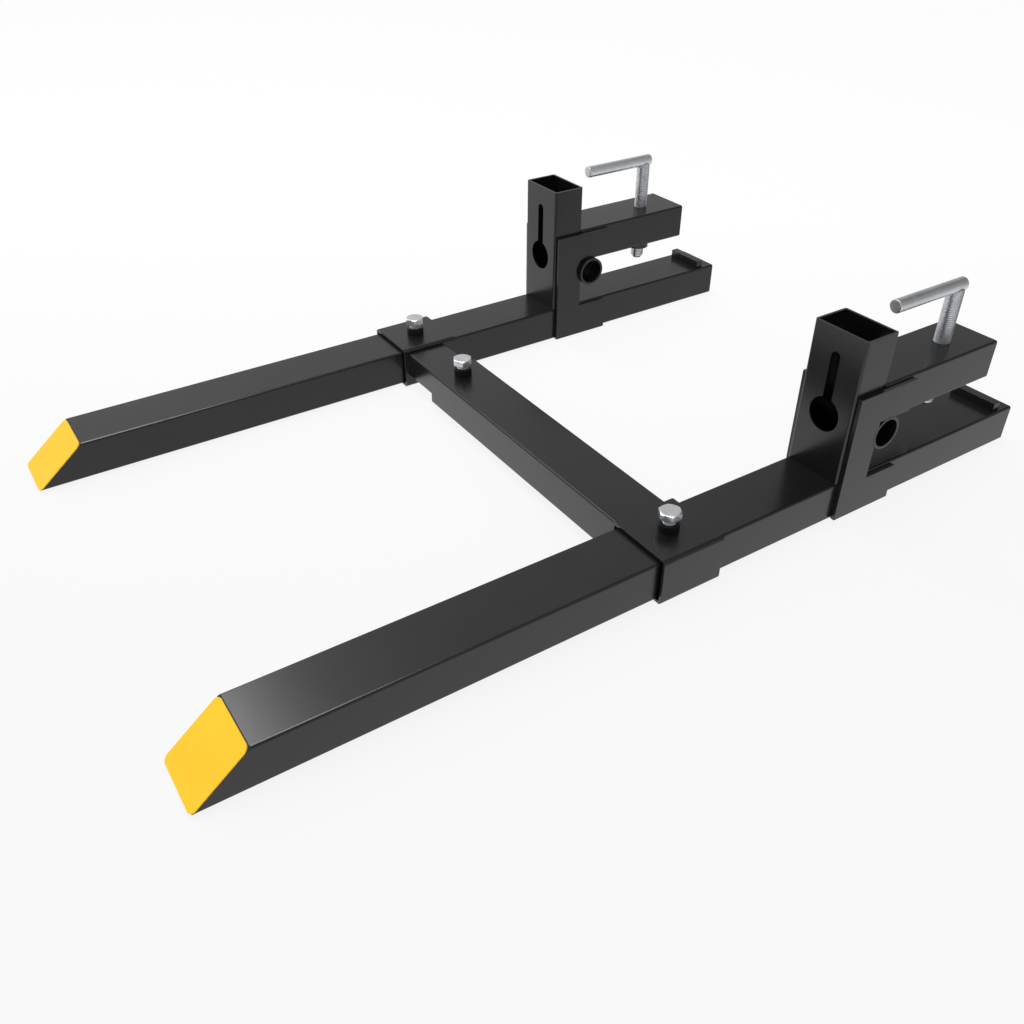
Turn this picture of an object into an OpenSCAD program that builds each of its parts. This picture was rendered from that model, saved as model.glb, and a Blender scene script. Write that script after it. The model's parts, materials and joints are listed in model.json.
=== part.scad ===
// Clamp-on pallet forks: two rectangular-tube forks, each with a screw clamp at its rear end,
// held apart by a telescoping stabiliser bar whose sleeves slide along the forks.
// +Y runs from the fork tips to the clamps, +X to the right, +Z up.
// The origin lies midway between the forks and midway along them, at the height of the sleeves' underside.

/* [Fork tubes] */
// Distance between the two forks' centre lines
fork_spacing = 580; // [480:1:700]
// Length of a fork tube along its underside, tip to rear end
fork_len = 1122; // [1000:1:1250]
// Width of the fork tube
tube_w = 76; // [70:1:84]
// Height of the fork tube, and depth of the upright
tube_h = 50; // [46:1:56]
// Wall of the fork tube, upright and upper jaw
tube_wall = 3; // [2:0.5:4]
// Outer corner radius of the fork tube, upright and upper jaw
tube_corner_r = 3; // [2:0.5:7]
// Horizontal run of the bevelled tip
tip_run = 61.5; // [30:0.5:80]
// Thickness of the yellow tip cap
tip_cap_t = 1.5; // [1:0.1:3]
// Margin between the cap's outline and the bevel's edges
tip_cap_margin = 0.3; // [0.2:0.1:0.6]
// Corner radius of the cap
tip_cap_corner_r = 7; // [4:0.5:8]

/* [Upright and upper jaw] */
// Lower jaw length behind the upright
throat_len = 287; // [260:1:320]
// Height of the upright above the fork tube
upright_h = 184; // [170:1:220]
// Opening between the lower and the upper jaw
jaw_gap = 68.7; // [60:0.1:78]
// Length of the upper jaw
upper_jaw_len = 202.5; // [185:0.5:230]
// Width of the keyhole's slot in the upright's front wall
keyhole_slot_w = 13; // [8:0.5:18]
// Height of the slot's rounded top above the fork tube
keyhole_top_h = 157.7; // [140:0.1:165]
// Diameter of the keyhole's round opening
keyhole_d = 43; // [30:0.5:50]
// Height of the round opening's centre above the fork tube
keyhole_h = 78.3; // [60:0.1:95]

/* [Side plates and cross pipe] */
// Thickness of the C-shaped side plates
plate_t = 6; // [4:0.5:10]
// Height of the side plates
plate_h = 165; // [155:0.5:168]
// Length that the side plates reach behind the upright
plate_reach = 48; // [38:0.5:60]
// Setback of the side plates' front edge behind the upright's front wall
plate_setback = 4; // [0:0.5:8]
// Depth by which the side plates' notch undercuts the upright's rear wall and both jaws
notch_undercut = 3; // [0:0.5:4]
// Height by which the notch cuts up past the upper jaw's underside
notch_rise = 4.8; // [2:0.1:8]
// Outer diameter of the cross pipe
pipe_d = 42.2; // [38:0.1:46]
// Wall of the cross pipe
pipe_wall = 3.55; // [2.5:0.05:4.5]
// Distance of the pipe's axis behind the upright
pipe_back = 14; // [11:0.5:17]
// Distance of the pipe's axis below the upper jaw
pipe_drop = 15.2; // [12:0.1:17.5]
// Length by which the pipe stands out of the inner plate
pipe_proud = 6; // [0:0.5:12]

/* [Clamp screw] */
// Thread diameter of the clamp screw
screw_d = 20; // [18:1:24]
// Distance of the screw's axis behind the upright
screw_back = 146; // [125:0.5:160]
// Height of the screw's tip above the fork tube
screw_tip_h = 34; // [10:0.5:40]
// Radius by which the screw tapers in at its tip
screw_taper = 3.5; // [1:0.5:5]
// Height of the taper at the screw's tip
screw_taper_h = 4.5; // [1:0.5:8]
// Outer diameter of the round screw nut
screw_nut_d = 34; // [28:0.5:38]
// Height of the round screw nut
screw_nut_h = 16.5; // [12:0.1:26]
// Diameter of the handle bar
handle_d = 16.5; // [12:0.5:18]
// Length of the handle bar
handle_len = 120.5; // [105:0.5:150]
// Length of the handle bar behind the screw's axis
handle_tail = 10.5; // [10:0.5:30]
// Height of the handle's axis above the fork tube
handle_h = 190.5; // [170:0.5:210]
// Height by which the screw's top wraps round the handle bar
handle_seat = 5; // [2:0.5:6]

/* [Jaw lip] */
// Width of the lip bar on the lower jaw
lip_w = 65; // [50:1:68]
// Depth of the lip bar
lip_depth = 12; // [8:0.5:16]
// Height of the lip bar
lip_h = 11; // [6:0.5:16]
// Distance of the lip bar from the lower jaw's rear end
lip_inset = 20.5; // [10:0.5:30]

/* [Sleeves and stabiliser bar] */
// Length of a sleeve along its fork
sleeve_len = 85; // [80:1:110]
// Wall of a sleeve
sleeve_wall = 4; // [3:0.5:5]
// Outer corner radius of a sleeve
sleeve_corner_r = 5; // [5:0.5:7]
// Gap between the fork's underside and the sleeve
sleeve_gap_below = 0.3; // [0.2:0.1:0.6]
// Gap between the fork's top and the sleeve
sleeve_gap_above = 1.2; // [0.5:0.1:2]
// Gap between each side of the fork and the sleeve
sleeve_gap_side = 3; // [1:0.5:4]
// Distance of the sleeves' front edges behind the tips' top edges
sleeve_back = 456; // [380:1:560]
// Depth of the outer bar along the forks
bar_w = 73; // [66:1:80]
// Height of the outer bar
bar_h = 48; // [44:0.5:52]
// Length of the outer bar
bar_len = 413.5; // [340:0.5:450]
// Wall of the outer bar
bar_wall = 5; // [3:0.5:6]
// Outer corner radius of both bars
bar_corner_r = 2.5; // [2:0.5:6]
// Length of the inner bar
inner_bar_len = 330; // [260:1:380]
// Wall of the inner bar
inner_bar_wall = 3; // [2:0.5:4]
// Gap between the two bars at the front and at the rear
bar_gap_side = 1.5; // [0.5:0.1:2]
// Gap between the two bars underneath
bar_gap_below = 0.4; // [0.3:0.1:0.6]
// Gap between the two bars on top
bar_gap_above = 1; // [0.5:0.1:2]

/* [Set bolts] */
// Thread diameter of the set bolts
bolt_d = 16; // [12:1:18]
// Distance across the flats of a bolt head
bolt_flats = 24; // [22:0.5:27]
// Height of a bolt head
bolt_head_h = 8.8; // [7:0.1:13]
// Thickness of the washer face under a bolt head
washer_face_t = 0.8; // [0.4:0.1:1]
// Gap between a sleeve's weld nut and the bolt head
bolt_standoff = 6; // [1.5:0.1:8]
// Chamfer at a bolt's tip
bolt_chamfer = 1.5; // [0.5:0.5:2.5]
// Outer diameter of the round weld nuts
nut_d = 24.5; // [22:0.5:30]
// Height of the round weld nuts
nut_h = 10; // [8:0.5:16]
// Distance of the bar bolt from the outer bar's open end
bar_bolt_inset = 27.5; // [18:0.5:50]

/* [Clearances] */
// Gap between a set bolt's tip and the tube it bears on
bolt_tip_gap = 0.3; // [0.2:0.05:0.5]
// Radial clearance of a thread in its nut
thread_gap = 0.05; // [0.02:0.01:0.1]
// Radial clearance of a thread in a drilled wall
drill_gap = 0.5; // [0.3:0.1:2]
// Gap at a curved weld seat
seat_gap = 0.2; // [0.1:0.05:0.4]

/* [Hidden] */

// Facets of a rounded corner and of a drilled hole
corner_fn = 32;
hole_fn = 64;
// Length that a cut runs past the faces it opens
past = 1;

black = [0.17, 0.17, 0.18];
yellow = [1.0, 0.80, 0.20];
zinc = [0.80, 0.81, 0.83];

// Heights
fork_z = sleeve_wall + sleeve_gap_below;
fork_top_z = fork_z + tube_h;
upper_jaw_z = fork_top_z + jaw_gap;
sleeve_h = tube_h + sleeve_gap_below + sleeve_gap_above + 2 * sleeve_wall;
sleeve_w = tube_w + 2 * sleeve_gap_side + 2 * sleeve_wall;

// Places along the forks
fork_x = fork_spacing / 2;
tip_bottom_y = -fork_len / 2;
tip_top_y = tip_bottom_y + tip_run;
rear_y = fork_len / 2;
upright_rear_y = rear_y - throat_len;
upright_front_y = upright_rear_y - tube_h;
sleeve_y = tip_top_y + sleeve_back;
sleeve_bolt_y = sleeve_y + sleeve_len / 2;

// Bevel of the tip: its slope, its length and the run that the cap's thickness takes along the tube
tip_angle = atan2(tip_run, tube_h);
bevel_len = norm([tip_run, tube_h]);
cap_run = tip_cap_t / cos(tip_angle);

// Cross pipe
pipe_y = upright_rear_y + pipe_back;
pipe_z = upper_jaw_z - pipe_drop;
pipe_inner_x = -tube_w / 2 - plate_t - pipe_proud;
pipe_len = tube_w + 2 * plate_t + pipe_proud;

// Clamp screw
screw_y = upright_rear_y + screw_back;
screw_tip_z = fork_top_z + screw_tip_h;
handle_z = fork_top_z + handle_h;
screw_top_z = handle_z - handle_d / 2 + handle_seat;

// Stabiliser
bar_z = sleeve_h - bar_h;
bar_right_x = fork_x - sleeve_w / 2;
bar_open_x = bar_right_x - bar_len;
bar_mid_y = sleeve_y + bar_w / 2;
inner_bar_w = bar_w - 2 * (bar_wall + bar_gap_side);
inner_bar_h = bar_h - 2 * bar_wall - bar_gap_below - bar_gap_above;
inner_bar_z = bar_z + bar_wall + bar_gap_below;
inner_bar_left_x = -fork_x + sleeve_w / 2;
bar_bolt_x = bar_open_x + bar_bolt_inset;

// Set bolts: the shank reaches from the head down to the tube that it bears on
bolt_shank_len = bolt_standoff + nut_h + sleeve_h - fork_top_z - bolt_tip_gap;
bolt_corner_d = bolt_flats / cos(30);

// Rounded rectangle, centred, with true arcs at the corners
module rounded_rect(w, h, r) {
    square([w - 2 * r, h], center = true);
    square([w, h - 2 * r], center = true);
    for (sx = [-1, 1], sy = [-1, 1])
        translate([sx * (w / 2 - r), sy * (h / 2 - r)])
            circle(r = r, $fn = corner_fn);
}

// Wall of a rectangular tube: outer outline less the bore, which keeps the wall even round the corners
module tube_section(w, h, wall, r) {
    difference() {
        rounded_rect(w, h, r);
        rounded_rect(w - 2 * wall, h - 2 * wall, max(r - wall, 0.5));
    }
}

// Lays an extrusion along +Y, its second axis up
module along_y(len) {
    rotate([90, 0, 0])
        translate([0, 0, -len])
            linear_extrude(height = len)
                children();
}

// Lays an extrusion along +X, its first axis to the rear and its second up
module along_x(len) {
    rotate([90, 0, 90])
        linear_extrude(height = len)
            children();
}

// Places a right-hand piece on the right fork (side 1) or its mirror image on the left fork (side -1)
module on_fork(side) {
    if (side > 0)
        translate([fork_x, 0, 0]) children();
    else
        mirror([1, 0, 0])
            translate([fork_x, 0, 0]) children();
}

// Everything in front of the cap's seat, the bevelled plane that the tube is cut on
module ahead_of_seat() {
    reach = 2 * (tube_h + tip_run);
    translate([0, tip_top_y + cap_run, fork_top_z])
        rotate([-tip_angle, 0, 0])
            translate([-tube_w, -reach, -reach])
                cube([2 * tube_w, reach, 2 * reach]);
}

// Round hole or rod along X through the cross pipe's axis
module pipe_cut(r) {
    translate([-tube_w, pipe_y, pipe_z])
        rotate([0, 90, 0])
            cylinder(r = r, h = 2 * tube_w, $fn = hole_fn);
}

module fork_tube(side) {
    color(black) on_fork(side)
        difference() {
            translate([0, tip_bottom_y, fork_z + tube_h / 2])
                along_y(fork_len)
                    tube_section(tube_w, tube_h, tube_wall, tube_corner_r);
            ahead_of_seat();
        }
}

// Plate on the bevel, ground flush with the fork's underside
module tip_cap(side) {
    color(yellow) on_fork(side)
        intersection() {
            translate([0, tip_bottom_y + tip_run / 2, fork_z + tube_h / 2])
                rotate([90 - tip_angle, 0, 0])
                    translate([0, 0, -tip_cap_t])
                        linear_extrude(height = tip_cap_t)
                            rounded_rect(
                                tube_w - 2 * tip_cap_margin, bevel_len - 2 * tip_cap_margin,
                                tip_cap_corner_r
                            );
            translate([-tube_w / 2, tip_bottom_y, fork_z])
                cube([tube_w, 2 * tip_run, tube_h]);
        }
}

module upright(side) {
    slot_r = keyhole_slot_w / 2;
    slot_top_z = fork_top_z + keyhole_top_h - slot_r;
    keyhole_z = fork_top_z + keyhole_h;
    wall_y = upright_front_y - past;
    wall_cut = tube_wall + 2 * past;
    color(black) on_fork(side)
        difference() {
            translate([0, upright_front_y + tube_h / 2, fork_top_z])
                linear_extrude(height = upright_h)
                    tube_section(tube_w, tube_h, tube_wall, tube_corner_r);
            translate([0, wall_y, keyhole_z])
                along_y(wall_cut)
                    circle(d = keyhole_d, $fn = hole_fn);
            translate([0, wall_y, slot_top_z])
                along_y(wall_cut)
                    circle(r = slot_r, $fn = hole_fn);
            translate([-slot_r, wall_y, keyhole_z])
                cube([keyhole_slot_w, wall_cut, slot_top_z - keyhole_z]);
            pipe_cut(pipe_d / 2 + seat_gap);
        }
}

module upper_jaw(side) {
    color(black) on_fork(side)
        difference() {
            translate([0, upright_rear_y, upper_jaw_z + tube_h / 2])
                along_y(upper_jaw_len)
                    tube_section(tube_w, tube_h, tube_wall, tube_corner_r);
            translate([0, screw_y, upper_jaw_z - past])
                cylinder(r = screw_d / 2 + drill_gap, h = tube_h + 2 * past, $fn = hole_fn);
            pipe_cut(pipe_d / 2 + seat_gap);
        }
}

// C-shaped plate, seen from the side: its notch leaves the jaws' opening and the pipe's seat free
module side_plate(side, plate_x) {
    front_y = upright_front_y + plate_setback;
    notch_y = upright_rear_y - notch_undercut;
    notch_z = fork_top_z - notch_undercut;
    rear = upright_rear_y + plate_reach;
    color(black) on_fork(side)
        difference() {
            translate([plate_x, front_y, fork_z])
                cube([plate_t, rear - front_y, plate_h]);
            translate([plate_x - past, notch_y, notch_z])
                cube([plate_t + 2 * past, rear - notch_y + past, upper_jaw_z + notch_rise - notch_z]);
            pipe_cut(pipe_d / 2 + seat_gap);
        }
}

module outer_plate(side) { side_plate(side, tube_w / 2); }
module inner_plate(side) { side_plate(side, -tube_w / 2 - plate_t); }

module cross_pipe(side) {
    color(black) on_fork(side)
        translate([pipe_inner_x, pipe_y, pipe_z])
            rotate([0, 90, 0])
                difference() {
                    cylinder(d = pipe_d, h = pipe_len, $fn = hole_fn);
                    translate([0, 0, -past])
                        cylinder(r = pipe_d / 2 - pipe_wall, h = pipe_len + 2 * past, $fn = hole_fn);
                }
}

module jaw_lip(side) {
    color(black) on_fork(side)
        translate([-lip_w / 2, rear_y - lip_inset - lip_depth, fork_top_z])
            cube([lip_w, lip_depth, lip_h]);
}

module screw_nut(side) {
    color(black) on_fork(side)
        translate([0, screw_y, upper_jaw_z - screw_nut_h])
            difference() {
                cylinder(d = screw_nut_d, h = screw_nut_h, $fn = hole_fn);
                translate([0, 0, -past])
                    cylinder(r = screw_d / 2 + thread_gap, h = screw_nut_h + 2 * past, $fn = hole_fn);
            }
}

// Bar along Y that lies on the screw's top
module handle_bar(r) {
    translate([0, screw_y + handle_tail, handle_z])
        rotate([90, 0, 0])
            cylinder(r = r, h = handle_len, $fn = hole_fn);
}

module clamp_screw(side) {
    screw_len = screw_top_z - screw_tip_z;
    screw_r = screw_d / 2;
    color(zinc) on_fork(side)
        difference() {
            translate([0, screw_y, screw_tip_z])
                rotate_extrude($fn = hole_fn)
                    polygon([
                        [0, 0], [screw_r - screw_taper, 0], [screw_r, screw_taper_h],
                        [screw_r, screw_len], [0, screw_len]
                    ]);
            handle_bar(handle_d / 2 + seat_gap);
        }
}

module screw_handle(side) {
    color(zinc) on_fork(side)
        handle_bar(handle_d / 2);
}

// Sleeve round a fork, with the drilled hole for its set bolt in the top wall
module sleeve(side) {
    color(black) on_fork(side)
        difference() {
            translate([0, sleeve_y, sleeve_h / 2])
                along_y(sleeve_len)
                    tube_section(sleeve_w, sleeve_h, sleeve_wall, sleeve_corner_r);
            translate([0, sleeve_bolt_y, sleeve_h - sleeve_wall - past])
                cylinder(r = bolt_d / 2 + thread_gap, h = sleeve_wall + 2 * past, $fn = hole_fn);
        }
}

module outer_bar() {
    color(black)
        difference() {
            translate([bar_open_x, bar_mid_y, bar_z + bar_h / 2])
                along_x(bar_len)
                    tube_section(bar_w, bar_h, bar_wall, bar_corner_r);
            translate([bar_bolt_x, bar_mid_y, sleeve_h - bar_wall - past])
                cylinder(r = bolt_d / 2 + thread_gap, h = bar_wall + 2 * past, $fn = hole_fn);
        }
}

module inner_bar() {
    color(black)
        translate([inner_bar_left_x, bar_mid_y, inner_bar_z + inner_bar_h / 2])
            along_x(inner_bar_len)
                tube_section(inner_bar_w, inner_bar_h, inner_bar_wall, bar_corner_r);
}

// Round nut welded on a tube's top face, which lies at the sleeves' height for all three bolts
module weld_nut(x, y) {
    color(black)
        translate([x, y, sleeve_h])
            difference() {
                cylinder(d = nut_d, h = nut_h, $fn = hole_fn);
                translate([0, 0, -past])
                    cylinder(r = bolt_d / 2 + thread_gap, h = nut_h + 2 * past, $fn = hole_fn);
            }
}

// Hexagon-head set bolt, its tip at the given height and a corner of its head towards -Y
module set_bolt(x, y, tip_z) {
    head_z = bolt_shank_len;
    rim_r = bolt_flats * 0.475;
    chamfer_h = (bolt_corner_d / 2 - rim_r) * tan(30);
    color(zinc)
        translate([x, y, tip_z]) {
            rotate_extrude($fn = hole_fn)
                polygon([
                    [0, 0], [bolt_d / 2 - bolt_chamfer, 0], [bolt_d / 2, bolt_chamfer],
                    [bolt_d / 2, head_z], [0, head_z]
                ]);
            translate([0, 0, head_z])
                cylinder(r = rim_r, h = washer_face_t, $fn = hole_fn);
            intersection() {
                translate([0, 0, head_z + washer_face_t])
                    rotate([0, 0, 30])
                        cylinder(d = bolt_corner_d, h = bolt_head_h - washer_face_t, $fn = 6);
                translate([0, 0, head_z + washer_face_t])
                    rotate_extrude($fn = hole_fn)
                        polygon([
                            [0, 0], [bolt_corner_d / 2, 0],
                            [bolt_corner_d / 2, bolt_head_h - washer_face_t - chamfer_h],
                            [rim_r, bolt_head_h - washer_face_t], [0, bolt_head_h - washer_face_t]
                        ]);
            }
        }
}

fork_tube(1);  // right_fork_tube
tip_cap(1);  // right_tip_cap
upright(1);  // right_upright
upper_jaw(1);  // right_upper_jaw
outer_plate(1);  // right_outer_plate
inner_plate(1);  // right_inner_plate
cross_pipe(1);  // right_cross_pipe
jaw_lip(1);  // right_jaw_lip
screw_nut(1);  // right_screw_nut
clamp_screw(1);  // right_clamp_screw
screw_handle(1);  // right_screw_handle
fork_tube(-1);  // left_fork_tube
tip_cap(-1);  // left_tip_cap
upright(-1);  // left_upright
upper_jaw(-1);  // left_upper_jaw
outer_plate(-1);  // left_outer_plate
inner_plate(-1);  // left_inner_plate
cross_pipe(-1);  // left_cross_pipe
jaw_lip(-1);  // left_jaw_lip
screw_nut(-1);  // left_screw_nut
clamp_screw(-1);  // left_clamp_screw
screw_handle(-1);  // left_screw_handle
sleeve(1);  // right_sleeve
sleeve(-1);  // left_sleeve
outer_bar();
inner_bar();
weld_nut(fork_x, sleeve_bolt_y);  // right_sleeve_nut
weld_nut(-fork_x, sleeve_bolt_y);  // left_sleeve_nut
weld_nut(bar_bolt_x, bar_mid_y);  // bar_nut
set_bolt(fork_x, sleeve_bolt_y, fork_top_z + bolt_tip_gap);  // right_sleeve_bolt
set_bolt(-fork_x, sleeve_bolt_y, fork_top_z + bolt_tip_gap);  // left_sleeve_bolt
set_bolt(bar_bolt_x, bar_mid_y, inner_bar_z + inner_bar_h + bolt_tip_gap);  // bar_bolt
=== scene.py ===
# Clamp-on pallet fork set.
# Each section below finishes one piece, or a group of like pieces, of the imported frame.
import json
from math import ceil, cos, pi, radians, sin, sqrt

import bmesh
import bpy
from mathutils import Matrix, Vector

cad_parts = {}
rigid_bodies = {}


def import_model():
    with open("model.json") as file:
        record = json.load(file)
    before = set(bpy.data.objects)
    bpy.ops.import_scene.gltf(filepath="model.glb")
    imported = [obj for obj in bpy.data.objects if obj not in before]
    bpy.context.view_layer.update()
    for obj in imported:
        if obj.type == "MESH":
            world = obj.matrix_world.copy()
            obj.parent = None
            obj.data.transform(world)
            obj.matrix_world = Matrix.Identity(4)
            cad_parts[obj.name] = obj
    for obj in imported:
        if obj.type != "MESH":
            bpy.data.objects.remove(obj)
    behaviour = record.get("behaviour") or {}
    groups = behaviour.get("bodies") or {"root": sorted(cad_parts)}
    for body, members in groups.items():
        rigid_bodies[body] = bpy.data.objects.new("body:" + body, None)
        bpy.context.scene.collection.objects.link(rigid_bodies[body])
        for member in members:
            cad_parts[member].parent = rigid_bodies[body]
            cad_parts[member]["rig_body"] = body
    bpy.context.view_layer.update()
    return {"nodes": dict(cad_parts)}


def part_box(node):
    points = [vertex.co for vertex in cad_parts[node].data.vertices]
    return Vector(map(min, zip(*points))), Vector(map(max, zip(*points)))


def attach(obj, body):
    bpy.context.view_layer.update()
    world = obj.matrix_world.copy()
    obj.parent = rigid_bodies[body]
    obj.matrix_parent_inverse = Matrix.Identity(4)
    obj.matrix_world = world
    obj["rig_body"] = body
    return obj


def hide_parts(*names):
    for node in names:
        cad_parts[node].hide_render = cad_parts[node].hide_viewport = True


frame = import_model()
mm = 0.001


# The studio: the camera, a white surround, a pale floor that is seen from above only, and two flat lamps.
# Glossy faces see a bright wall to the left. It fades out towards the rear, and more slowly towards the
# front, and comes back a little at the right rear. The lamps are a long softbox and a short edge light.
camera_data = bpy.data.cameras.new("studio_camera")
camera = bpy.data.objects.new("studio_camera", camera_data)
camera.location = (918.07 * mm, -615.98 * mm, 712.83 * mm)
camera_pitch_down = 36.201
camera_turn_left = 56.891
camera.rotation_euler = (radians(90 - camera_pitch_down), 0, radians(camera_turn_left))
camera_data.sensor_width = 36
camera_data.lens = 34.557
camera_data.clip_start = 0.01
bpy.context.scene.collection.objects.link(camera)
bpy.context.scene.camera = camera
bpy.context.scene.view_settings.view_transform = "Standard"


def wire(tree, kind, inputs, **settings):
    """Adds a node, sets its options and fills its inputs, each by a value or by another node's output."""
    node = tree.nodes.new(kind)
    for name, value in settings.items():
        setattr(node, name, value)
    for key, value in inputs.items():
        if isinstance(value, bpy.types.NodeSocket):
            tree.links.new(value, node.inputs[key])
        else:
            node.inputs[key].default_value = value
    return node


def reckon(tree, operation, a, b=0.0):
    """One step of arithmetic in a tree."""
    return wire(tree, "ShaderNodeMath", {0: a, 1: b}, operation=operation).outputs[0]


def graded(tree, value, start, end, at_start=0.0, at_end=1.0):
    """Goes evenly from at_start to at_end while the value goes from start to end, and stays there."""
    return wire(tree, "ShaderNodeMapRange", {
        "Value": value, "From Min": start, "From Max": end, "To Min": at_start, "To Max": at_end,
    }).outputs["Result"]


def blank_tree(owner):
    """The emptied shader tree of a material or a world."""
    owner.use_nodes = True
    owner.node_tree.nodes.clear()
    return owner.node_tree


# The surround's brightness for glossy rays: walls by the angle off the left, and ground by angle and depth
front_spread = 0.3
left_wall_bright, left_wall_faded = 0.84, 0.13
right_wall_bright = 0.50
ground_left, ground_right = 1.17, 0.92
ground_far, ground_underfoot = 0.73, 1.0
horizon_blur = 0.03
# Its brightness for every other ray that lights the object, graded from the left to the right
ambient_left, ambient_right = 1.12, 0.44

white = (1, 1, 1, 1)
surround = bpy.data.worlds.new("surround")
bpy.context.scene.world = surround
tree = blank_tree(surround)
ray = wire(tree, "ShaderNodeLightPath", {}).outputs
toward = wire(tree, "ShaderNodeTexCoord", {}).outputs["Generated"]
toward_x, toward_y, toward_z = wire(tree, "ShaderNodeSeparateXYZ", {0: toward}).outputs
leftward = reckon(tree, "MULTIPLY", toward_x, -1.0)
to_rear = reckon(tree, "ARCTAN2", toward_y, leftward)
to_front = reckon(tree, "MULTIPLY", to_rear, -front_spread)
off_left = reckon(tree, "MAXIMUM", to_rear, to_front)
left_wall = graded(tree, off_left, 0.0, radians(90), left_wall_bright, left_wall_faded)
right_wall = graded(tree, off_left, radians(75), radians(150), 0.0, right_wall_bright)
walls = reckon(tree, "MAXIMUM", left_wall, right_wall)
ground_side = graded(tree, off_left, radians(45), radians(110), ground_left, ground_right)
ground_near = graded(tree, toward_z, -0.30, -0.55, ground_far, ground_underfoot)
ground = reckon(tree, "MULTIPLY", ground_side, ground_near)
above = graded(tree, toward_z, -horizon_blur, horizon_blur)
surroundings = wire(tree, "ShaderNodeMix", {"Factor": above, "A": ground, "B": walls}).outputs["Result"]
ambient_level = graded(tree, toward_x, -1.0, 1.0, ambient_left, ambient_right)
ambient = wire(tree, "ShaderNodeBackground", {"Color": white, "Strength": ambient_level}).outputs[0]
seen_gloss = wire(tree, "ShaderNodeBackground", {"Color": white, "Strength": surroundings}).outputs[0]
seen_plain = wire(tree, "ShaderNodeBackground", {"Color": white, "Strength": 1.0}).outputs[0]
glossy_ray = ray["Is Glossy Ray"]
with_gloss = wire(tree, "ShaderNodeMixShader", {0: glossy_ray, 1: ambient, 2: seen_gloss}).outputs[0]
plain_ray = reckon(tree, "MAXIMUM", ray["Is Camera Ray"], ray["Is Transmission Ray"])
with_plain = wire(tree, "ShaderNodeMixShader", {0: plain_ray, 1: with_gloss, 2: seen_plain}).outputs[0]
wire(tree, "ShaderNodeOutputWorld", {"Surface": with_plain})

# The floor's glow for the camera is painted light: it grows brighter away from the camera, and on to white
# far out from the object
away_from_camera = (-0.84, 0.55, 0)
glow_front, glow_back, glow_far_out = 0.935, 0.99, 1.005
floor_glow_share = 0.93
floor_grey = (0.9, 0.9, 0.9, 1)
floor_paint = bpy.data.materials.new("floor_paint")
tree = blank_tree(floor_paint)
ray = wire(tree, "ShaderNodeLightPath", {}).outputs
spot = wire(tree, "ShaderNodeTexCoord", {}).outputs["Object"]
depth = wire(
    tree, "ShaderNodeVectorMath", {0: spot, 1: away_from_camera}, operation="DOT_PRODUCT"
).outputs["Value"]
glow_level = graded(tree, depth, -0.3, 0.9, glow_front, glow_back)
outward = wire(tree, "ShaderNodeVectorMath", {0: spot}, operation="LENGTH").outputs["Value"]
far_glow_level = graded(tree, outward, 1.5, 5.0, glow_front, glow_far_out)
glow_level = reckon(tree, "MAXIMUM", glow_level, far_glow_level)
matt = wire(tree, "ShaderNodeBsdfDiffuse", {"Color": floor_grey}).outputs[0]
glow = wire(tree, "ShaderNodeEmission", {"Color": white, "Strength": glow_level}).outputs[0]
share = reckon(tree, "MULTIPLY", ray["Is Camera Ray"], floor_glow_share)
floor_mix = wire(tree, "ShaderNodeMixShader", {0: share, 1: matt, 2: glow}).outputs[0]
clear = wire(tree, "ShaderNodeBsdfTransparent", {}).outputs[0]
from_below = wire(tree, "ShaderNodeNewGeometry", {}).outputs["Backfacing"]
let_through = reckon(tree, "MAXIMUM", ray["Is Glossy Ray"], from_below)
floor_seen = wire(tree, "ShaderNodeMixShader", {0: let_through, 1: floor_mix, 2: clear}).outputs[0]
wire(tree, "ShaderNodeOutputMaterial", {"Surface": floor_seen})

floor_half = 6.0
floor_corners = [
    (-floor_half, -floor_half, 0), (floor_half, -floor_half, 0),
    (floor_half, floor_half, 0), (-floor_half, floor_half, 0),
]
floor_mesh = bpy.data.meshes.new("studio_floor")
floor_mesh.from_pydata(floor_corners, [], [(0, 1, 2, 3)])
floor_mesh.materials.append(floor_paint)
floor = bpy.data.objects.new("studio_floor", floor_mesh)
bpy.context.scene.collection.objects.link(floor)


def ceiling_lamp(name, place, along, across, watts):
    """A long flat lamp that hangs level and faces straight down."""
    data = bpy.data.lights.new(name, "AREA")
    data.shape = "RECTANGLE"
    data.size = along
    data.size_y = across
    data.energy = watts
    lamp = bpy.data.objects.new(name, data)
    lamp.location = place
    bpy.context.scene.collection.objects.link(lamp)


lamp_height = 2.81
ceiling_lamp("softbox", (-1.20, -0.228, lamp_height), along=3.6, across=0.53, watts=44)
ceiling_lamp("edge_light", (0.0, 0.16, lamp_height), along=1.2, across=0.24, watts=14)


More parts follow.
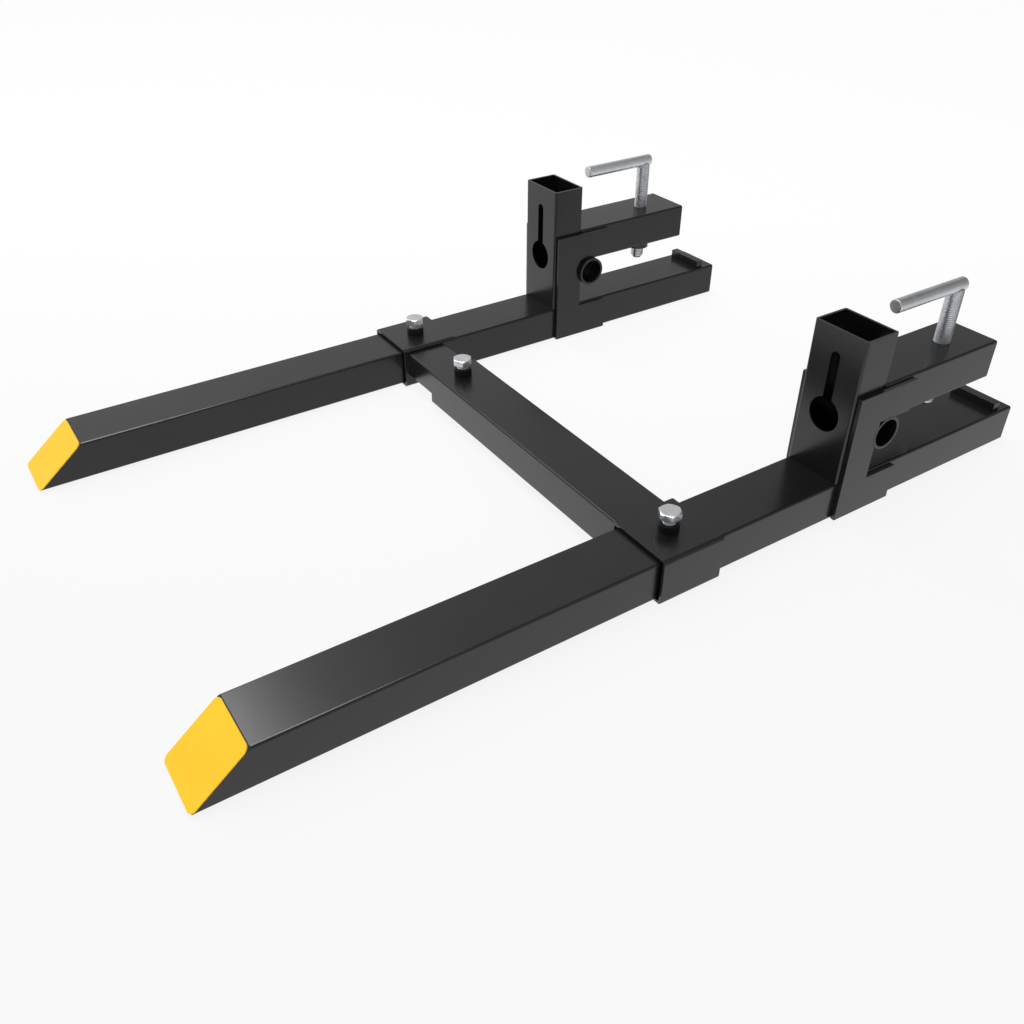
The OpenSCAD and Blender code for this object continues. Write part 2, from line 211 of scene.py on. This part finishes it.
# Fork tubes: each fork is one length of 76 x 50 mm steel tube, with its tip sawn to a bevel and its rear
# end as the lower jaw. The tube is cold formed, so its long edges are round.
# The satin black coat is thin and slightly peeled.
def clouded_finish(
    name, fixed, cloud_scale, cloud_detail, tones, roughness, grain_scale, grain_strength, grain_height
):
    """A finish whose tone and gloss drift in soft clouds, with a fine grain. Fixed values go by socket."""
    finish = bpy.data.materials.new(name)
    finish.use_nodes = True
    tree = finish.node_tree
    shader = tree.nodes["Principled BSDF"]
    for socket, value in fixed.items():
        shader.inputs[socket].default_value = value
    place = wire(tree, "ShaderNodeTexCoord", {}).outputs["Object"]
    cloud = wire(tree, "ShaderNodeTexNoise", {
        "Vector": place, "Scale": cloud_scale, "Detail": cloud_detail,
    }).outputs["Fac"]
    tone = wire(tree, "ShaderNodeValToRGB", {"Fac": cloud})
    for stop, position, colour in zip(tone.color_ramp.elements, (0.3, 0.7), tones):
        stop.position = position
        stop.color = colour
    tree.links.new(tone.outputs["Color"], shader.inputs["Base Color"])
    tree.links.new(graded(tree, cloud, 0.0, 1.0, *roughness), shader.inputs["Roughness"])
    grain = wire(tree, "ShaderNodeTexNoise", {
        "Vector": place, "Scale": grain_scale, "Detail": 2.0,
    }).outputs["Fac"]
    bump = wire(tree, "ShaderNodeBump", {
        "Height": grain, "Strength": grain_strength, "Distance": grain_height,
    }).outputs["Normal"]
    tree.links.new(bump, shader.inputs["Normal"])
    return finish


coat = clouded_finish(
    "black_coat", {"Specular IOR Level": 0.5, "IOR": 1.5}, cloud_scale=9.0, cloud_detail=3.0,
    tones=((0.0045, 0.0045, 0.0050, 1), (0.0075, 0.0075, 0.0080, 1)), roughness=(0.21, 0.26),
    grain_scale=420.0, grain_strength=0.03, grain_height=0.4 * mm,
)


def finish_piece(name, mesh, finish, crease):
    """An object with smooth faces, whose large faces keep their own normals and steep edges stay sharp."""
    mesh.materials.clear()
    mesh.materials.append(finish)
    for face in mesh.polygons:
        face.use_smooth = True
    mesh.set_sharp_from_angle(angle=radians(crease))
    piece = bpy.data.objects.new(name, mesh)
    bpy.context.scene.collection.objects.link(piece)
    weigh = piece.modifiers.new("weigh", "WEIGHTED_NORMAL")
    weigh.keep_sharp = True
    weigh.weight = 80
    settled = bpy.data.meshes.new_from_object(piece.evaluated_get(bpy.context.evaluated_depsgraph_get()))
    piece.modifiers.clear()
    piece.data = settled
    settled.name = name
    return piece


def broken_edges(node, edge, below=None):
    """A frame node's shape as one shell with broken edges. What lies under the height below is cut off."""
    same_point = 0.005 * mm
    flat_angle = radians(0.5)
    steep_angle = radians(40)
    shape = bmesh.new()
    shape.from_mesh(frame["nodes"][node].data)
    bmesh.ops.remove_doubles(shape, verts=shape.verts, dist=same_point)
    bmesh.ops.dissolve_limit(shape, angle_limit=flat_angle, verts=shape.verts, edges=shape.edges)
    if below is not None:
        everything = shape.verts[:] + shape.edges[:] + shape.faces[:]
        bmesh.ops.bisect_plane(
            shape, geom=everything, plane_co=(0, 0, below), plane_no=(0, 0, 1), clear_inner=True
        )
        bmesh.ops.holes_fill(shape, edges=[e for e in shape.edges if e.is_boundary])
    steep = [e for e in shape.edges if len(e.link_faces) == 2 and e.calc_face_angle(0) > steep_angle]
    bmesh.ops.bevel(
        shape, geom=steep, offset=edge, offset_type="OFFSET", segments=2, profile=0.5, affect="EDGES",
        clamp_overlap=True,
    )
    bmesh.ops.triangulate(shape, faces=[f for f in shape.faces if len(f.verts) > 4])
    mesh = bpy.data.meshes.new(node)
    shape.to_mesh(mesh)
    shape.free()
    return mesh


def dress(node, finish, edge):
    """A finished copy of a frame node, which rides where the node rides and stands for it."""
    piece = finish_piece(node + "_finished", broken_edges(node, edge), finish, crease=60)
    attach(piece, frame["nodes"][node]["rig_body"])
    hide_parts(node)
    return piece


sides = ("right", "left")
fine_edge = 0.2 * mm
for side in sides:
    dress(side + "_fork_tube", coat, fine_edge)


# Tip caps: a steel plate is welded on to close each bevelled tip, and its rim is rounded with a grinder.
# It is coated yellow, so that the tips show on the ground.
yellow = clouded_finish(
    "yellow_cap", {"Specular IOR Level": 0.18}, cloud_scale=14.0, cloud_detail=3.0,
    tones=((0.96, 0.530, 0.016, 1), (1.0, 0.565, 0.022, 1)), roughness=(0.36, 0.46),
    grain_scale=420.0, grain_strength=0.04, grain_height=0.4 * mm,
)
cap_edge = 0.5 * mm
for side in sides:
    dress(side + "_tip_cap", yellow, cap_edge)


# Uprights: a length of the same steel tube stands on each fork, welded on and open on top.
# A keyhole cut through its front wall holds a chain by its links.
sawn_edge = 0.4 * mm
for side in sides:
    dress(side + "_upright", coat, sawn_edge)


# Upper jaws: a short length of the same tube is butted against the upright's rear wall and welded to it.
# It is drilled for the clamp screw, and its rear end is open.
for side in sides:
    dress(side + "_upper_jaw", coat, sawn_edge)


# Side plates: two 6 mm steel plates, laser cut to the shape of a C, cover the corner from both sides.
# They are welded on and tie the upright and both jaws together.
for side in sides:
    for plate in ("_outer_plate", "_inner_plate"):
        dress(side + plate, coat, sawn_edge)


# Cross pipes: a short steel pipe runs through both side plates in the corner of the jaws.
# It is welded to them, stiffens them, and stands a little proud of the inner one.
for side in sides:
    dress(side + "_cross_pipe", coat, sawn_edge)


# Lip bars: a flat steel bar is welded across the lower jaw's top.
# It hooks behind the bucket's cutting edge.
for side in sides:
    dress(side + "_jaw_lip", coat, sawn_edge)


# Screw nuts: a thick round steel nut under the upper jaw carries each clamp screw.
# It is welded to the jaw and coated with it.
nut_edge = 0.6 * mm
for side in sides:
    dress(side + "_screw_nut", coat, nut_edge)


# Clamp screws: a zinc-plated M20 threaded rod whose turned tip presses on the bucket's cutting edge.
# Its top is coped to the handle bar that is welded across it.
zinc = clouded_finish(
    "zinc", {"Metallic": 1.0}, cloud_scale=60.0, cloud_detail=4.0,
    tones=((0.62, 0.635, 0.66, 1), (0.73, 0.745, 0.77, 1)), roughness=(0.32, 0.41),
    grain_scale=900.0, grain_strength=0.05, grain_height=0.2 * mm,
)

# Thread: four rings of points to a turn follow the helix, at the crest's and the root's two edges.
# A turn's pitch is shared out between the crest, a flank, the root and another flank.
rings_per_turn = 4
crest_share = 1 / 8
flank_share = 5 / 16
root_share = 1 / 4
turns_below = 2
turns_above = 1
columns_round = 48
join_distance = 0.01 * mm
thread = bpy.data.node_groups.new("thread", "GeometryNodeTree")
for name, kind in (
    ("Axis", "NodeSocketVector"), ("Radius", "NodeSocketFloat"), ("Depth", "NodeSocketFloat"),
    ("Pitch", "NodeSocketFloat"), ("Bottom", "NodeSocketFloat"), ("Top", "NodeSocketFloat"),
    ("Tip Radius", "NodeSocketFloat"), ("Taper", "NodeSocketFloat"), ("Seat Radius", "NodeSocketFloat"),
    ("Seat Height", "NodeSocketFloat"), ("Rings", "NodeSocketInt"), ("Segments", "NodeSocketInt"),
    ("Finish", "NodeSocketMaterial"),
):
    thread.interface.new_socket(name, in_out="INPUT", socket_type=kind)
thread.interface.new_socket("Geometry", in_out="OUTPUT", socket_type="NodeSocketGeometry")
given = wire(thread, "NodeGroupInput", {}).outputs


def sum_of(operation, a, b=0.0):
    """One step of arithmetic in the thread's tree."""
    return reckon(thread, operation, a, b)


# A flat sheet's columns become the way round, and its rows the rings
columns = sum_of("ADD", given["Segments"], 1)
sheet = wire(thread, "GeometryNodeMeshGrid", {
    "Size X": 1.0, "Size Y": 1.0, "Vertices X": columns, "Vertices Y": given["Rings"],
})
flat_place = wire(thread, "GeometryNodeInputPosition", {}).outputs[0]
corner = wire(thread, "ShaderNodeSeparateXYZ", {0: flat_place}).outputs
turned = sum_of("ADD", corner[0], 0.5)
last_ring = sum_of("SUBTRACT", given["Rings"], 1)
ring = sum_of("ROUND", sum_of("MULTIPLY", sum_of("ADD", corner[1], 0.5), last_ring))
turn = sum_of("FLOOR", sum_of("DIVIDE", ring, rings_per_turn))
edge_of_turn = sum_of("SUBTRACT", ring, sum_of("MULTIPLY", turn, rings_per_turn))
rise = turn
for past_edge, share_of_pitch in ((0.5, crest_share), (1.5, flank_share), (2.5, root_share)):
    is_past = sum_of("GREATER_THAN", edge_of_turn, past_edge)
    rise = sum_of("ADD", rise, sum_of("MULTIPLY", is_past, share_of_pitch))
in_root = sum_of("GREATER_THAN", edge_of_turn, 1.5)
climb = sum_of("ADD", sum_of("SUBTRACT", rise, turns_below), turned)
raw_height = sum_of("ADD", given["Bottom"], sum_of("MULTIPLY", given["Pitch"], climb))
angle = sum_of("MULTIPLY", turned, 2 * pi)

# The first and the last ring close the rod's ends, and the top is coped to a round bar along Y, the seat
at_start = sum_of("LESS_THAN", ring, 0.5)
at_end = sum_of("GREATER_THAN", ring, sum_of("SUBTRACT", last_ring, 0.5))
pole = sum_of("ADD", at_start, at_end)
off_pole = sum_of("SUBTRACT", 1.0, pole)
root_radius = sum_of("SUBTRACT", given["Radius"], given["Depth"])
across = sum_of("MULTIPLY", sum_of("MULTIPLY", root_radius, sum_of("COSINE", angle)), off_pole)
seat_radius_square = sum_of("MULTIPLY", given["Seat Radius"], given["Seat Radius"])
seat_square = sum_of("SUBTRACT", seat_radius_square, sum_of("MULTIPLY", across, across))
seat = sum_of("SUBTRACT", given["Seat Height"], sum_of("SQRT", sum_of("MAXIMUM", seat_square, 0.0)))
top_here = sum_of("MINIMUM", given["Top"], seat)
height = sum_of("MINIMUM", sum_of("MAXIMUM", raw_height, given["Bottom"]), top_here)

# The radius is the crest's or the root's, and no more than the tip's cone leaves
at_root = sum_of("MAXIMUM", in_root, sum_of("GREATER_THAN", raw_height, top_here))
radius = sum_of("SUBTRACT", given["Radius"], sum_of("MULTIPLY", given["Depth"], at_root))
slope = sum_of("DIVIDE", sum_of("SUBTRACT", given["Radius"], given["Tip Radius"]), given["Taper"])
over_tip = sum_of("SUBTRACT", height, given["Bottom"])
cone = sum_of("ADD", given["Tip Radius"], sum_of("MULTIPLY", over_tip, slope))
radius = sum_of("MULTIPLY", sum_of("MINIMUM", radius, cone), off_pole)
spot = wire(thread, "ShaderNodeCombineXYZ", {
    0: sum_of("MULTIPLY", radius, sum_of("COSINE", angle)),
    1: sum_of("MULTIPLY", radius, sum_of("SINE", angle)),
    2: height,
}).outputs[0]
placed = wire(thread, "ShaderNodeVectorMath", {0: spot, 1: given["Axis"]}, operation="ADD").outputs[0]
rolled = wire(thread, "GeometryNodeSetPosition", {
    "Geometry": sheet.outputs["Mesh"], "Position": placed,
}).outputs[0]
closed = wire(thread, "GeometryNodeMergeByDistance", {
    "Geometry": rolled, "Distance": join_distance,
}).outputs[0]
real = wire(thread, "GeometryNodeRealizeInstances", {"Geometry": closed}).outputs[0]
plated = wire(thread, "GeometryNodeSetMaterial", {"Geometry": real, "Material": given["Finish"]}).outputs[0]
wire(thread, "NodeGroupOutput", {"Geometry": plated})


def threaded_rod(axis, sizes):
    """The plain mesh of a threaded rod. Sizes go by the names of the thread's inputs, in metres."""
    carrier = bpy.data.objects.new("thread_carrier", bpy.data.meshes.new("thread_carrier"))
    bpy.context.scene.collection.objects.link(carrier)
    maker = carrier.modifiers.new("thread", "NODES")
    maker.node_group = thread
    turns = ceil((sizes["Top"] - sizes["Bottom"]) / sizes["Pitch"]) + turns_below + turns_above
    values = {
        **sizes, "Axis": (axis.x, axis.y, 0), "Rings": turns * rings_per_turn + 1,
        "Segments": columns_round, "Finish": zinc,
    }
    for socket in thread.interface.items_tree:
        if socket.in_out == "INPUT":
            maker[socket.identifier] = values[socket.name]
    carrier.update_tag()
    mesh = bpy.data.meshes.new_from_object(carrier.evaluated_get(bpy.context.evaluated_depsgraph_get()))
    bpy.data.objects.remove(carrier)
    return mesh


thread_depth_share = 0.61
screw_pitch = 2.5 * mm
screw_taper = 3.5 * mm
screw_taper_h = 4.5 * mm
for side in sides:
    node = side + "_clamp_screw"
    low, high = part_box(node)
    handle_low, handle_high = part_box(side + "_screw_handle")
    screw_r = (high.x - low.x) / 2
    rod = threaded_rod((low + high) / 2, {
        "Radius": screw_r, "Depth": thread_depth_share * screw_pitch, "Pitch": screw_pitch,
        "Bottom": low.z, "Top": high.z, "Tip Radius": screw_r - screw_taper, "Taper": screw_taper_h,
        "Seat Radius": (handle_high.z - handle_low.z) / 2, "Seat Height": (handle_high.z + handle_low.z) / 2,
    })
    piece = finish_piece(node + "_threaded", rod, zinc, crease=30)
    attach(piece, side + "_screw")
    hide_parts(node)


# Screw handles: a round steel bar, sawn to length with its end edges broken, makes a T of each screw.
# It is welded across the screw's top and zinc plated.
handle_edge = 0.9 * mm
for side in sides:
    dress(side + "_screw_handle", zinc, handle_edge)


# Sleeves: a short length of larger steel tube goes round each fork and slides along it.
# It is sawn to length, drilled for its set bolt, and coated black.
for side in sides:
    dress(side + "_sleeve", coat, sawn_edge)


# Stabiliser bars: two steel tubes slide one in the other and set the forks' spacing.
# The outer one is welded to the right sleeve, and the inner one to the left sleeve.
dress("outer_bar", coat, sawn_edge)
dress("inner_bar", coat, sawn_edge)

# The seam along the outer bar's end, over the sleeve's round top edge, is filled with weld and ground flush
bar_low, bar_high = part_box("outer_bar")
sleeve_low, sleeve_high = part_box("right_sleeve")
bar_corner = 2.5 * mm
sleeve_corner = 5.0 * mm
weld_proud = 0.02 * mm
weld_lap = 0.6 * mm
weld_set_in = 0.1 * mm
weld_depth = 5.1 * mm
corner_steps = 6
quarter = [pi / 2 * k / corner_steps for k in range(corner_steps + 1)]
arc_r = bar_corner + weld_proud
top_line = [(bar_low.y + bar_corner - arc_r * cos(a), arc_r * sin(a)) for a in quarter]
top_line += [(bar_high.y - bar_corner + arc_r * cos(a), arc_r * sin(a)) for a in reversed(quarter)]
seam = bmesh.new()
sections = []
for y, lift in top_line:
    z = sleeve_high.z - bar_corner + lift
    above_centre = min(z - (sleeve_high.z - sleeve_corner), sleeve_corner)
    reach = sleeve_corner - sqrt(sleeve_corner ** 2 - above_centre ** 2)
    weld_bottom = sleeve_high.z - weld_depth
    outline = [
        (sleeve_low.x - weld_lap, z), (sleeve_low.x + reach, z),
        (sleeve_low.x + weld_set_in, weld_bottom), (sleeve_low.x - weld_lap, weld_bottom),
    ]
    sections.append([seam.verts.new((px, y, pz)) for px, pz in outline])
for near, far in zip(sections, sections[1:]):
    for k in range(4):
        seam.faces.new((near[k], near[(k + 1) % 4], far[(k + 1) % 4], far[k]))
seam.faces.new(sections[0])
seam.faces.new(sections[-1])
bmesh.ops.recalc_face_normals(seam, faces=seam.faces)
seam_mesh = bpy.data.meshes.new("outer_bar_weld")
seam.to_mesh(seam_mesh)
seam.free()
seam_weld = finish_piece("outer_bar_weld", seam_mesh, coat, crease=40)
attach(seam_weld, "outer_stabiliser")


# Weld nuts: a thick round steel nut for each set bolt, on each sleeve and on the outer bar.
# It is welded on over the bolt's hole and coated black.
weld_nut_edge = 0.5 * mm
for node in ("right_sleeve_nut", "left_sleeve_nut", "bar_nut"):
    dress(node, coat, weld_nut_edge)


# Set bolts: zinc-plated M16 hexagon-head steel bolts, screwed through the weld nuts.
# They lock the sleeves on the forks and the inner bar in the outer one.
bolt_pitch = 2.0 * mm
bolt_r = 8.0 * mm
bolt_head_h = 8.8 * mm
bolt_head_edge = 0.4 * mm
bolt_chamfer = 1.5 * mm
for node, body in (
    ("right_sleeve_bolt", "outer_stabiliser"),
    ("bar_bolt", "outer_stabiliser"),
    ("left_sleeve_bolt", "inner_stabiliser"),
):
    low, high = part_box(node)
    head_z = high.z - bolt_head_h
    head = broken_edges(node, bolt_head_edge, below=head_z)
    shank = threaded_rod((low + high) / 2, {
        "Radius": bolt_r, "Depth": thread_depth_share * bolt_pitch, "Pitch": bolt_pitch,
        "Bottom": low.z, "Top": head_z + bolt_pitch, "Tip Radius": bolt_r - bolt_chamfer,
        "Taper": bolt_chamfer, "Seat Radius": 0.0, "Seat Height": high.z,
    })
    both = bmesh.new()
    both.from_mesh(head)
    both.from_mesh(shank)
    bolt = bpy.data.meshes.new(node)
    both.to_mesh(bolt)
    both.free()
    piece = finish_piece(node + "_threaded", bolt, zinc, crease=50)
    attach(piece, body)
    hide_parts(node)
